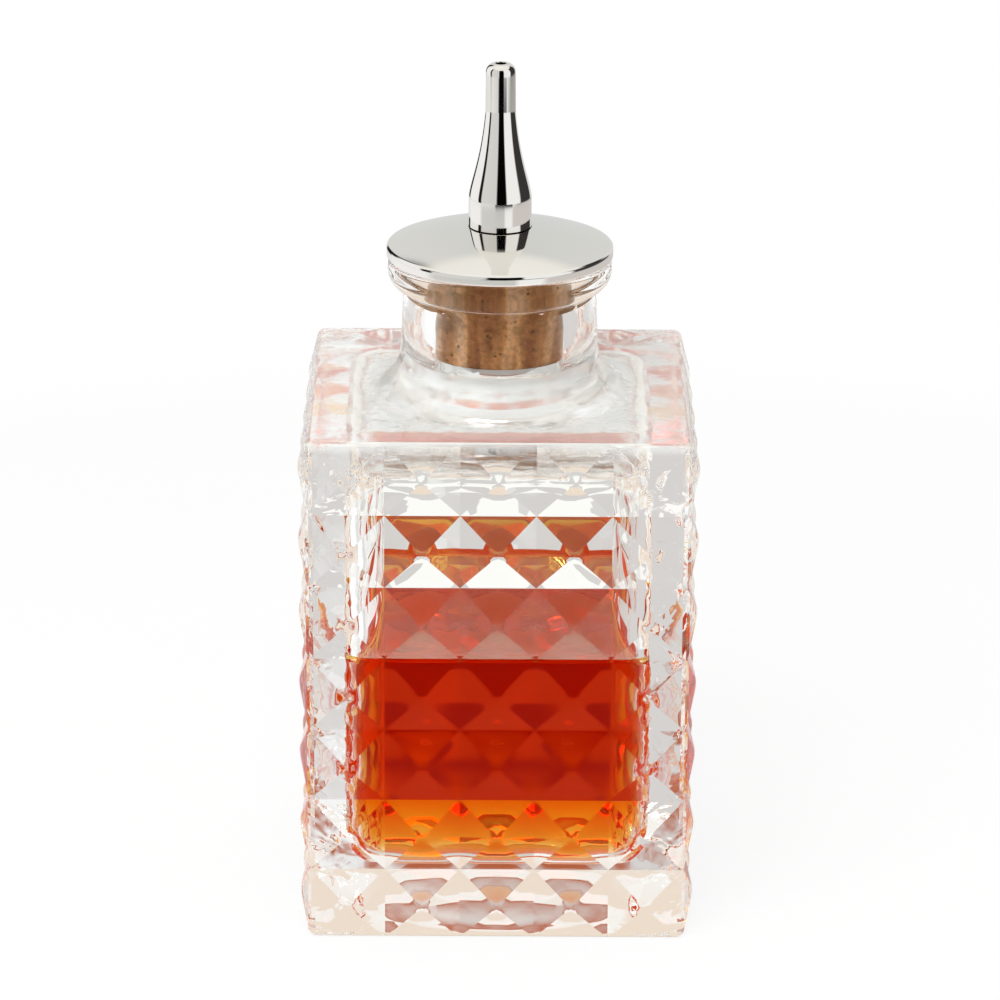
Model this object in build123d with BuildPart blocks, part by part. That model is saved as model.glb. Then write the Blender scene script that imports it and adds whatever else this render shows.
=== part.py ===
from build123d import *
import os
from math import sqrt

# Square studded glass bottle for bitters, with a cork-mounted metal dasher top.
# Millimetres, +Z up. The origin is the middle of the base, on the surface that the bottle stands on.
# The front face looks along -Y. All four faces are alike.

# Glass body, outside
body_width = 60.0  # across the valleys between the studs
body_height = 84.0
stud_columns = 5
stud_rows = 7
stud_height = 1.75  # of a pyramid with a sharp tip
stud_tip_width = 0.7  # the flat that pressing leaves on each tip
corner_radius = 1.0  # upright corners
heel_edge = 0.9  # bevel of the lower edges
shoulder_edge = 0.7  # bevel of the upper edges
pushup_radius = 22.0  # shallow dome in the underside, inside the rim that the bottle stands on
pushup_depth = 0.9

# Glass body, inside
wall = 5.6  # from the valleys to the hollow
floor_thickness = 11.5
ceiling_thickness = 5.0
hollow_corner_radius = 6.0
hollow_floor_radius = 5.0
hollow_ceiling_radius = 5.0
hollow_throat_radius = 2.5  # where the hollow's ceiling turns up into the neck

# Neck and lip
bore_radius = 10.5
mouth_widening = 1.1  # how much wider the bore is inside the lip
mouth_depth = 5.0  # from the top of the lip to where the bore starts to narrow
mouth_taper_height = 2.5
bore_edge_radius = 0.6
neck_radius = 15.4  # under the lip
neck_flare = 0.35  # how much wider the neck is where it leaves its foot
foot_radius = 5.0  # fillet from the neck to the top of the body
neck_height = 21.63  # from the top of the body to the top of the lip
lip_overhang = 2.47  # how far the lip stands out from the neck
lip_height = 5.1
lip_under_radius = 2.9
lip_crook_radius = 0.7  # where the lip's underside meets the neck
lip_edge_radius = 0.7

# Contents
liquid_level = 46.4

# Cork
cork_length = 15.77
cork_clearance = 0.05  # around its head and its upper end, in the bore
cork_taper = 0.25  # how much smaller its lower end is, on the radius
cork_edge = 0.5

# Domed cap
cap_overhang = 0.2  # how far the cap stands out from the lip
cap_rim_height = 1.71
cap_rim_edge = 0.25
cap_rise = 3.32  # of the dome above the rim

# Stem through the cap and the cork
stem_radius = 3.0
stem_bore_radius = 1.9
stem_grip = 4.0  # length that is screwed into the spout
stem_proud = 0.4  # length below the nut
thread_clearance = 0.05

# Washer and round slotted nut under the cork
washer_radius = 6.6
washer_thickness = 0.8
nut_radius = 6.3
nut_height = 1.8
nut_edge = 0.3
slot_count = 4
slot_width = 1.1
slot_depth = 1.0
slot_angle = 55.0

# Spout
spout_height = 26.65
spout_foot_radius = 5.0
spout_belly_radius = 5.08
spout_belly_height = 5.1  # the near-cylindrical stretch under the flare
spout_foot_edge = 0.2
spout_land_margin = 0.15  # the flat on the dome reaches this far past the spout's foot
flare_height = 13.6
flare_end_radius = 2.42
flare_start_lean = 0.33  # the flare leaves the belly leaning in by this much
flare_start_reach = 2.7  # over this length
flare_end_lean = 0.73  # and it reaches the slim upper part leaning by this much
flare_end_reach = 7.9  # over this length
spout_end_radius = 2.36  # before its rounded tip
tip_land = 0.1  # flat ring between the hole in the tip and the rounding
channel_radius = 1.2
tip_hole_radius = 0.9
tip_hole_length = 2.0

overrun = 1.0  # how far cutting tools run past what they cut

# Places that follow from the sizes above
half_width = body_width / 2
stud_reach = half_width + stud_height + overrun
column_pitch = body_width / stud_columns
row_pitch = body_height / stud_rows
hollow_width = body_width - 2 * wall
pushup_dome_radius = (pushup_radius**2 + pushup_depth**2) / (2 * pushup_depth)
ceiling_z = body_height - ceiling_thickness
lip_top_z = body_height + neck_height
lip_bottom_z = lip_top_z - lip_height
lip_radius = neck_radius + lip_overhang
cap_radius = lip_radius + cap_overhang
mouth_radius = bore_radius + mouth_widening
mouth_bottom_z = lip_top_z - mouth_depth
bore_top_z = mouth_bottom_z - mouth_taper_height
cork_bottom_z = lip_top_z - cork_length
cork_top_radius = bore_radius - cork_clearance
cork_bottom_radius = cork_top_radius - cork_taper
cork_head_radius = mouth_radius - cork_clearance
rim_top_z = lip_top_z + cap_rim_height
dome_radius = (cap_radius**2 + cap_rise**2) / (2 * cap_rise)
dome_centre_z = rim_top_z + cap_rise - dome_radius
land_radius = spout_foot_radius + spout_land_margin
land_z = dome_centre_z + sqrt(dome_radius**2 - land_radius**2)
spout_top_z = land_z + spout_height
washer_bottom_z = cork_bottom_z - washer_thickness
nut_bottom_z = washer_bottom_z - nut_height
stem_bottom_z = nut_bottom_z - stem_proud
stem_top_z = land_z + stem_grip
stem_hole_radius = stem_radius + thread_clearance


# A row of studs in section: pairs of (distance along the row, how far the surface stands out).
# Each stud rises from a valley to its blunt tip, and the next stud starts in the next valley.
def stud_section(count, pitch):
    tip_height = stud_height * (1 - stud_tip_width / pitch)
    section = [(0, 0)]
    for stud in range(count):
        middle = (stud + 0.5) * pitch
        section.append((middle - stud_tip_width / 2, tip_height))
        section.append((middle + stud_tip_width / 2, tip_height))
        section.append(((stud + 1) * pitch, 0))
    return section


# The closed outline of the body's cross-section seen from above, with studs on its four sides.
def plan_outline():
    section = stud_section(stud_columns, column_pitch)
    side = [(along - half_width, half_width + out) for along, out in section]
    outline = []
    for _ in range(4):
        outline += side[:-1]
        side = [(y, -x) for x, y in side]
    return outline


# The closed outline of the body seen from one side, with studs up its two sides.
def side_outline():
    right = [(half_width + out, up) for up, out in stud_section(stud_rows, row_pitch)]
    left = [(-across, up) for across, up in reversed(right)]
    return right + left


# Hollow of the bottle: a rounded square room that narrows into the round bore of the neck. The bore
# widens again inside the lip.
with BuildPart() as hollow:
    with BuildSketch(Plane.XY.offset(floor_thickness)):
        RectangleRounded(hollow_width, hollow_width, hollow_corner_radius)
    extrude(amount=ceiling_z - floor_thickness)
    fillet(hollow.edges().group_by(Axis.Z)[0], radius=hollow_floor_radius)
    fillet(hollow.edges().group_by(Axis.Z)[-1], radius=hollow_ceiling_radius)
    with BuildSketch(Plane.XY.offset(ceiling_z - hollow_ceiling_radius)):
        Circle(bore_radius)
    extrude(amount=lip_top_z - ceiling_z + hollow_ceiling_radius)
    throat_edges = hollow.edges().filter_by(GeomType.CIRCLE).filter_by_position(
        Axis.Z, ceiling_z - overrun / 2, ceiling_z + overrun / 2
    )
    fillet(throat_edges, radius=hollow_throat_radius)
    with BuildSketch(Plane.XZ):
        with BuildLine():
            Polyline(
                (0, lip_top_z),
                (mouth_radius, lip_top_z),
                (mouth_radius, mouth_bottom_z),
                (bore_radius, bore_top_z),
                (0, bore_top_z),
                close=True,
            )
        make_face()
    revolve(axis=Axis.Z)

# Glass bottle. The studs are what is left where three prisms meet: one with studs seen from above,
# one with studs seen from the front and one with studs seen from the side.
with BuildPart() as glass_bottle:
    with BuildSketch(Plane.XY):
        with BuildLine():
            Polyline(*plan_outline(), close=True)
        make_face()
        upright_corners = [
            vertices().sort_by_distance((across * half_width, along * half_width))[0]
            for across in (-1, 1)
            for along in (-1, 1)
        ]
        fillet(upright_corners, radius=corner_radius)
    extrude(amount=body_height)
    for section_plane in (Plane.XZ, Plane.YZ):
        with BuildSketch(section_plane.offset(-stud_reach)):
            with BuildLine():
                Polyline(*side_outline(), close=True)
            make_face()
            chamfer(vertices().group_by(Axis.Y)[0], length=heel_edge)
            chamfer(vertices().group_by(Axis.Y)[-1], length=shoulder_edge)
        extrude(amount=2 * stud_reach, mode=Mode.INTERSECT)

    # neck and lip
    with BuildSketch(Plane.XZ):
        with BuildLine():
            foot_edge = neck_radius + neck_flare + foot_radius
            crook_z = lip_bottom_z + lip_under_radius - sqrt(
                lip_under_radius**2 - (lip_under_radius - lip_overhang) ** 2
            )
            axis_line = Line((0, lip_top_z), (0, body_height - ceiling_thickness / 2))
            root_line = Line(axis_line @ 1, (foot_edge, body_height - ceiling_thickness / 2))
            foot_line = Line(root_line @ 1, (foot_edge, body_height))
            foot_arc = TangentArc(
                foot_line @ 1, (neck_radius + neck_flare, body_height + foot_radius), tangent=(-1, 0)
            )
            neck_line = Line(foot_arc @ 1, (neck_radius, crook_z))
            under_arc = RadiusArc(
                neck_line @ 1, (lip_radius, lip_bottom_z + lip_under_radius), -lip_under_radius
            )
            lip_line = Line(under_arc @ 1, (lip_radius, lip_top_z))
            Line(lip_line @ 1, axis_line @ 0)
        make_face()
        crook = vertices().sort_by_distance(neck_line @ 1)[0]
        fillet(crook, radius=lip_crook_radius)
        lip_edge = vertices().sort_by_distance(lip_line @ 1)[0]
        fillet(lip_edge, radius=lip_edge_radius)
    revolve(axis=Axis.Z)

    # the hollow, the rounded edge of its mouth, and the shallow dome underneath
    add(hollow.part, mode=Mode.SUBTRACT)
    mouth = glass_bottle.edges().filter_by(GeomType.CIRCLE).group_by(Axis.Z)[-1].sort_by(SortBy.RADIUS)[0]
    fillet(mouth, radius=bore_edge_radius)
    with BuildSketch(Plane.XZ):
        with BuildLine():
            dome_arc = RadiusArc((pushup_radius, 0), (0, pushup_depth), -pushup_dome_radius)
            Polyline(dome_arc @ 1, (0, 0), dome_arc @ 0)
        make_face()
    revolve(axis=Axis.Z, mode=Mode.SUBTRACT)
glass_bottle.part.label = "glass_bottle"

# Bitters, up to their level in the hollow
with BuildPart() as bitters_fill:
    add(hollow.part)
    split(bisect_by=Plane.XY.offset(liquid_level), keep=Keep.BOTTOM)
bitters_fill.part.label = "bitters_fill"

# Tapered cork with a wider head and a hole for the stem
with BuildPart() as cork_stopper:
    with BuildSketch(Plane.XZ):
        with BuildLine():
            Polyline(
                (stem_hole_radius, cork_bottom_z),
                (cork_bottom_radius - cork_edge, cork_bottom_z),
                (cork_bottom_radius, cork_bottom_z + cork_edge),
                (cork_top_radius, bore_top_z),
                (cork_head_radius, mouth_bottom_z),
                (cork_head_radius, lip_top_z),
                (stem_hole_radius, lip_top_z),
                close=True,
            )
        make_face()
    revolve(axis=Axis.Z)
cork_stopper.part.label = "cork_stopper"

# Domed cap, flat underneath, with a flat land at its crown for the spout
with BuildPart() as dome_cap:
    with BuildSketch(Plane.XZ):
        with BuildLine():
            seat_line = Line((stem_hole_radius, lip_top_z), (cap_radius, lip_top_z))
            rim_line = Line(seat_line @ 1, (cap_radius, rim_top_z))
            dome_line = RadiusArc(rim_line @ 1, (land_radius, land_z), -dome_radius)
            land_line = Line(dome_line @ 1, (stem_hole_radius, land_z))
            Line(land_line @ 1, seat_line @ 0)
        make_face()
        rim_corners = vertices().group_by(Axis.X)[-1]
        fillet(rim_corners, radius=cap_rim_edge)
    revolve(axis=Axis.Z)
dome_cap.part.label = "dome_cap"

# Threaded stem, drawn at its thread's outer size
with BuildPart() as stem_tube:
    with BuildSketch(Plane.XY.offset(stem_bottom_z)):
        Circle(stem_radius)
        Circle(stem_bore_radius, mode=Mode.SUBTRACT)
    extrude(amount=stem_top_z - stem_bottom_z)
stem_tube.part.label = "stem_tube"

# Washer between the cork and the nut
with BuildPart() as retaining_washer:
    with BuildSketch(Plane.XY.offset(washer_bottom_z)):
        Circle(washer_radius)
        Circle(stem_hole_radius, mode=Mode.SUBTRACT)
    extrude(amount=washer_thickness)
retaining_washer.part.label = "retaining_washer"

# Round nut with slots for a spanner in its side
with BuildPart() as retaining_nut:
    with BuildSketch(Plane.XY.offset(nut_bottom_z)):
        Circle(nut_radius)
        Circle(stem_hole_radius, mode=Mode.SUBTRACT)
    extrude(amount=nut_height)
    nut_rim = retaining_nut.edges().group_by(Axis.Z)[0].sort_by(SortBy.RADIUS)[-1]
    chamfer(nut_rim, length=nut_edge)
    with BuildSketch(Plane.XY.offset(nut_bottom_z)):
        with PolarLocations(nut_radius, slot_count, start_angle=slot_angle):
            Rectangle(2 * slot_depth, slot_width)
    extrude(amount=nut_height, mode=Mode.SUBTRACT)
retaining_nut.part.label = "retaining_nut"

# Turned spout: a near-cylindrical foot, a long flare, a slim upper part and a rounded tip
with BuildPart() as pour_spout:
    with BuildSketch(Plane.XZ):
        with BuildLine():
            belly_z = land_z + spout_belly_height
            flare_end_z = belly_z + flare_height
            tip_rounding = spout_end_radius - tip_hole_radius - tip_land
            socket_z = stem_top_z + thread_clearance
            tip_hole_z = spout_top_z - tip_hole_length
            foot_line = Line(
                (stem_hole_radius, land_z), (spout_foot_radius - spout_foot_edge, land_z)
            )
            foot_bevel = Line(foot_line @ 1, (spout_foot_radius, land_z + spout_foot_edge))
            belly_line = ThreePointArc(
                foot_bevel @ 1,
                (spout_belly_radius, land_z + spout_belly_height / 2),
                (spout_foot_radius, belly_z),
            )
            flare_line = Bezier(
                belly_line @ 1,
                (spout_foot_radius - flare_start_lean, belly_z + flare_start_reach),
                (flare_end_radius + flare_end_lean, flare_end_z - flare_end_reach),
                (flare_end_radius, flare_end_z),
            )
            slim_line = Line(flare_line @ 1, (spout_end_radius, spout_top_z - tip_rounding))
            tip_arc = RadiusArc(
                slim_line @ 1, (spout_end_radius - tip_rounding, spout_top_z), -tip_rounding
            )
            Polyline(
                tip_arc @ 1,
                (tip_hole_radius, spout_top_z),
                (tip_hole_radius, tip_hole_z),
                (channel_radius, tip_hole_z),
                (channel_radius, socket_z),
                (stem_hole_radius, socket_z),
                foot_line @ 0,
            )
        make_face()
    revolve(axis=Axis.Z)
pour_spout.part.label = "pour_spout"

os.makedirs("parts", exist_ok=True)
export_step(glass_bottle.part, "parts/glass_bottle.step")
export_step(bitters_fill.part, "parts/bitters_fill.step")
export_step(cork_stopper.part, "parts/cork_stopper.step")
export_step(dome_cap.part, "parts/dome_cap.step")
export_step(stem_tube.part, "parts/stem_tube.step")
export_step(retaining_washer.part, "parts/retaining_washer.step")
export_step(retaining_nut.part, "parts/retaining_nut.step")
export_step(pour_spout.part, "parts/pour_spout.step")
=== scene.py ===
import math
import bpy
import numpy as np
from mathutils import Matrix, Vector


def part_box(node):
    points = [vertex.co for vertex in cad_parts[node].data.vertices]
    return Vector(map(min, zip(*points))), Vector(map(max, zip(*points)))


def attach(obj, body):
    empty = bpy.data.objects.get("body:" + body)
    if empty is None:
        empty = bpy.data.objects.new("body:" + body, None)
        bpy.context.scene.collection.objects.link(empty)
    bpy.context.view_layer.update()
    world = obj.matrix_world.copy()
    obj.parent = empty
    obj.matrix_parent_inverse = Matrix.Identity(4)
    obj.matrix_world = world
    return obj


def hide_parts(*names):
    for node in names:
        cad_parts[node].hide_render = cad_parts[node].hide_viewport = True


# A square studded bottle of bitters, closed by a cork under a domed cap with a dasher spout, dressed
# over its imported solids
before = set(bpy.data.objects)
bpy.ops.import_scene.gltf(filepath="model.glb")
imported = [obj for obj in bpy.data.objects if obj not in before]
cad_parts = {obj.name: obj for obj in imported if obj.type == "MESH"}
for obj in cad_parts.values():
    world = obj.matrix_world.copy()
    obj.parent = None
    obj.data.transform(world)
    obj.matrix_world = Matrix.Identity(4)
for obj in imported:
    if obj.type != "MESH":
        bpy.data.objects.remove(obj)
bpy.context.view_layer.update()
mm = 0.001  # sizes below are in millimetres, and this turns them to metres
print("frame loaded")


# Colours are written as sRGB hex and turned to linear here
def linear(hexColour, alpha=1.0):
    shares = np.array([int(hexColour[i:i + 2], 16) / 255 for i in (1, 3, 5)])
    light = np.where(shares <= 0.04045, shares / 12.92, ((shares + 0.055) / 1.055) ** 2.4)
    return (*light.tolist(), alpha)


# Adds one shader node: plain attributes by keyword, and for each input a value or another node's socket
def addNode(tree, kind, inputs=None, **settings):
    node = tree.nodes.new(kind)
    for name, value in settings.items():
        setattr(node, name, value)
    for name, value in (inputs or {}).items():
        if isinstance(value, bpy.types.NodeSocket):
            tree.links.new(value, node.inputs[name])
        else:
            node.inputs[name].default_value = value
    return node


# A new material with an empty node tree
def startMaterial(name):
    material = bpy.data.materials.new(name)
    material.use_nodes = True
    material.node_tree.nodes.clear()
    return material, material.node_tree


# The next helpers return the socket of the node that they add. What they take is a plain value or a
# socket. This one is a sum on up to three of them.
def maths(tree, operation, *inputs):
    return addNode(tree, "ShaderNodeMath", dict(enumerate(inputs)), operation=operation).outputs["Value"]


# One span of values brought onto another, evenly or with soft ends, and held at its ends beyond them
def remap(tree, source, fromSpan=(0.0, 1.0), toSpan=(0.0, 1.0), kind="LINEAR"):
    return addNode(tree, "ShaderNodeMapRange", {
        "Value": source, "From Min": fromSpan[0], "From Max": fromSpan[1], "To Min": toSpan[0],
        "To Max": toSpan[1]}, interpolation_type=kind).outputs["Result"]


# 1 where the source lies inside a range and 0 outside it, with soft ends
def within(tree, source, low, high, soft):
    rise = remap(tree, source, (low - soft, low), kind="SMOOTHSTEP")
    fall = remap(tree, source, (high, high + soft), (1.0, 0.0), "SMOOTHSTEP")
    return maths(tree, "MULTIPLY", rise, fall)


# Noise with lumps of about this many millimetres
def noise(tree, place, size, detail, roughness=0.5, distortion=0.0):
    return addNode(tree, "ShaderNodeTexNoise", {
        "Vector": place, "Scale": 1 / (size * mm), "Detail": detail, "Roughness": roughness,
        "Distortion": distortion}).outputs["Fac"]


# Two colours mixed: all the first at a share of 0, all the second at 1
def mixColours(tree, share, first, second):
    return addNode(tree, "ShaderNodeMix", {0: share, "A": first, "B": second},
                   data_type="RGBA").outputs["Result"]


# A colour ramp with stops of (place from 0 to 1, hex colour), blended straight from one to the next
def rampColour(tree, source, stops):
    node = addNode(tree, "ShaderNodeValToRGB", {"Fac": source})
    elements = node.color_ramp.elements
    while len(elements) < len(stops):
        elements.new(0.5)
    for element, (place, colour) in zip(elements, stops):
        element.position = place
        element.color = linear(colour)
    return node.outputs["Color"]


# Tones round the upright axis, with stops of (azimuth in degrees, hex colour). Azimuth 0 is the front,
# and more is to the right.
def tonesAround(tree, parts, stops):
    front = maths(tree, "MULTIPLY", parts.outputs["Y"], -1.0)
    around = remap(tree, maths(tree, "ARCTAN2", parts.outputs["X"], front), (-math.pi, math.pi))
    return rampColour(tree, around, [(0.5 + degrees / 360, tone) for degrees, tone in stops])


# Points of a profile, each (radius, height): straight stretches and arcs, evenly divided
def straight(start, end, steps):
    share = np.linspace(0, 1, steps + 1)[:, None]
    return np.array(start) * (1 - share) + np.array(end) * share


def arc(centre, radius, fromDegrees, toDegrees, steps):
    angle = np.radians(np.linspace(fromDegrees, toDegrees, steps + 1))
    return np.stack([centre[0] + radius * np.cos(angle), centre[1] + radius * np.sin(angle)], 1)


# Cubic curve: the four points weighted by the terms of ((1 - t) + t) cubed
def bezier(points, steps):
    t = np.linspace(0, 1, steps + 1)[:, None]
    a, b, c, d = (np.array(p) for p in points)
    return a * (1 - t) ** 3 + 3 * b * (1 - t) ** 2 * t + 3 * c * (1 - t) * t ** 2 + d * t ** 3


# Joins stretches into one profile and adds points so that no step is longer than the limit
def joinProfile(stretches, longest):
    points = np.concatenate(stretches)
    keep = np.r_[True, np.linalg.norm(np.diff(points, axis=0), axis=1) > 1e-4]
    points = points[keep]
    dense = [points[:1]]
    for start, end in zip(points[:-1], points[1:]):
        steps = max(1, int(np.ceil(np.linalg.norm(end - start) / longest)))
        dense.append(straight(start, end, steps)[1:])
    return np.concatenate(dense)


# Quads between each ring of points and the next. Rings run anticlockwise seen from above, so the
# faces look outwards where the profile climbs an outer wall. A closed profile meets itself; an open
# one gets a fan at each end. Ridges says how each quad is split: 1 along the diagonal that rises to the
# right, 2 along the one that falls, 0 not at all.
def skinRings(rings, closed=False, ridges=None):
    ringCount, around = rings.shape[:2]
    points = rings.reshape(-1, 3)
    lower = np.arange(ringCount if closed else ringCount - 1)[:, None] * around
    upper = (lower + around) % (ringCount * around)
    here = np.arange(around)[None, :]
    after = (here + 1) % around
    quads = np.stack([lower + here, lower + after, upper + after, upper + here], -1)
    if ridges is None:
        faces = quads.reshape(-1, 4).tolist()
    else:
        plain = quads[ridges == 0].tolist()
        rising, falling = quads[ridges == 1], quads[ridges == 2]
        faces = plain + rising[:, [0, 1, 2]].tolist() + rising[:, [0, 2, 3]].tolist()
        faces += falling[:, [0, 1, 3]].tolist() + falling[:, [1, 2, 3]].tolist()
    if not closed:
        first, last = len(points), len(points) + 1
        points = np.vstack([points, rings[0].mean(0), rings[-1].mean(0)])
        end = (ringCount - 1) * around
        faces += [[first, (i + 1) % around, i] for i in range(around)]
        faces += [[last, end + i, end + (i + 1) % around] for i in range(around)]
    return points, faces


# A profile of (radius, height) turned about the upright axis
def turnProfile(profile, around):
    angle = np.linspace(0, 2 * np.pi, around, endpoint=False)
    radius, height = profile[:, :1], profile[:, 1:]
    return np.stack([radius * np.sin(angle), -radius * np.cos(angle), height + 0 * angle], -1)


# Makes one piece from its points and faces, rides it on its body and puts it in place of its CAD solid
def makePiece(name, surface, material, cadNode, body, sharpDegrees=40):
    points, faces = surface
    mesh = bpy.data.meshes.new(name)
    mesh.from_pydata((points * mm).tolist(), [], faces)
    mesh.polygons.foreach_set("use_smooth", np.ones(len(mesh.polygons), bool))
    if sharpDegrees:
        mesh.set_sharp_from_angle(angle=math.radians(sharpDegrees))
    mesh.materials.append(material)
    piece = bpy.data.objects.new(name, mesh)
    bpy.context.scene.collection.objects.link(piece)
    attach(piece, body)
    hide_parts(cadNode)
    print(name, "made:", len(mesh.vertices), "points")


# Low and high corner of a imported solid, in millimetres
def nodeBox(node):
    low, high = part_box(node)
    return np.array(low) / mm, np.array(high) / mm


glassHigh = nodeBox("glass_bottle")[1]
liquidHigh = nodeBox("bitters_fill")[1]
capLow = nodeBox("dome_cap")[0]
corkLow, corkHigh = nodeBox("cork_stopper")
stemLow, stemHigh = nodeBox("stem_tube")
washerLow, washerHigh = nodeBox("retaining_washer")
nutLow, nutHigh = nodeBox("retaining_nut")
spoutLow, spoutHigh = nodeBox("pour_spout")

bottle = {
    "width": 60.0,  # across the valleys
    "height": 84.0,
    "columns": 5,
    "rows": 7,
    "studHeight": 1.75,
    "tipWidth": 0.7,  # the flat that pressing leaves on each tip
    "cellsPerStud": 16,  # across and up each stud, in the mesh
    "cornerRadius": 1.0,
    "heelRadius": 0.9,
    "shoulderRadius": 0.9,
    "pushupRadius": 22.0,
    "pushupDepth": 0.9,
    "wall": 5.6,
    "floor": 11.5,
    "ceiling": 5.0,
    "hollowCorner": 6.0,
    "hollowFloorRadius": 5.0,
    "hollowCeilingRadius": 5.0,
    "throatRadius": 2.5,
    "boreRadius": 10.5,
    "boreEdge": 0.6,
    "mouthWidening": 1.1,  # inside the lip
    "mouthDepth": 5.0,
    "mouthTaper": 2.5,
    "taperLead": 0.5,  # how far above its taper the mouth starts to bend in
    "taperEase": 0.9,  # how softly it bends
    "neckRadius": 15.4,
    "neckFlare": 0.35,
    "crookHeight": 0.4,  # small step out from the neck to the lip's underside
    "crookWidth": 0.25,
    "footRadius": 7.5,
    "lipRadius": 17.87,
    "lipHeight": 5.1,
    "lipUnder": 2.9,
    "lipEdge": 0.7,
}


# Rounded square: the outline point at a share of the way along one side, from -1 at one corner to 1
# at the next, for a half width and a corner radius. A corner radius equal to the half width is a circle.
def roundedSide(share, half, corner):
    straightHalf = half - corner
    length = np.abs(share) * (straightHalf + corner * np.pi / 4)
    turn = np.maximum(length - straightHalf, 0) / np.maximum(corner, 1e-6)
    along = np.minimum(length, straightHalf) + corner * np.sin(turn)
    out = straightHalf + corner * np.cos(turn)
    return np.sign(share) * along, out


# Rings of a square-to-round body. Each row of the profile is (half width, corner radius, height), and
# standing is how far each ring point stands out from its side.
def squareRings(profile, cells, standing=None):
    share = np.linspace(-1, 1, cells, endpoint=False)[None, :]
    half, corner, height = (profile[:, i:i + 1] for i in range(3))
    along, out = roundedSide(share, half, np.minimum(corner, half))
    sides = []
    for side in range(4):
        outer = out if standing is None else out + standing
        tangent = (math.cos(side * math.pi / 2), math.sin(side * math.pi / 2))
        normal = (tangent[1], -tangent[0])
        x = along * tangent[0] + outer * normal[0]
        y = along * tangent[1] + outer * normal[1]
        sides.append(np.stack([x, y, height + 0 * x], -1))
    return np.concatenate(sides, 1)


# Height of the studs: 0 in the valleys, rising evenly to each blunt tip. The lesser of the two rises,
# along the side and up it, makes each stud a four-sided pyramid.
def studField(share, height):
    def rise(place, pitch):
        saw = 1 - np.abs(2 * np.mod(place / pitch, 1) - 1)
        return np.minimum(saw, 1 - bottle["tipWidth"] / pitch)

    columnPitch = bottle["width"] / bottle["columns"]
    rowPitch = bottle["height"] / bottle["rows"]
    across = rise((share + 1) * bottle["width"] / 2, columnPitch)
    up = rise(np.clip(height, 0, bottle["height"]), rowPitch)
    return bottle["studHeight"] * np.minimum(across, up)


# Gives each (half width, height) its corner radius: the half width less a fixed shift, so that the
# corners of all rings turn about the same upright line
def withCorner(points, cornerShift):
    return np.column_stack([points[:, 0], np.maximum(points[:, 0] - cornerShift, 0.1), points[:, 1]])


# Profile of the hollow from its ceiling down to the middle of its floor, moved outwards by grow
def hollowProfile(grow):
    half = bottle["width"] / 2 - bottle["wall"]
    shift = half - bottle["hollowCorner"]
    ceiling = bottle["height"] - bottle["ceiling"]
    topR, floorR = bottle["hollowCeilingRadius"], bottle["hollowFloorRadius"]
    ceilingArc = arc((half - topR, ceiling - topR), topR + grow, 90, 0, 12)
    floorArc = arc((half - floorR, bottle["floor"] + floorR), floorR + grow, 0, -90, 14)
    wallLine = straight(ceilingArc[-1], floorArc[0], 12)[1:-1]
    floorLine = straight(floorArc[-1], (0.4, bottle["floor"] - grow), 10)[1:]
    return [withCorner(p, shift) for p in (ceilingArc, wallLine, floorArc, floorLine)]


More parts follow.
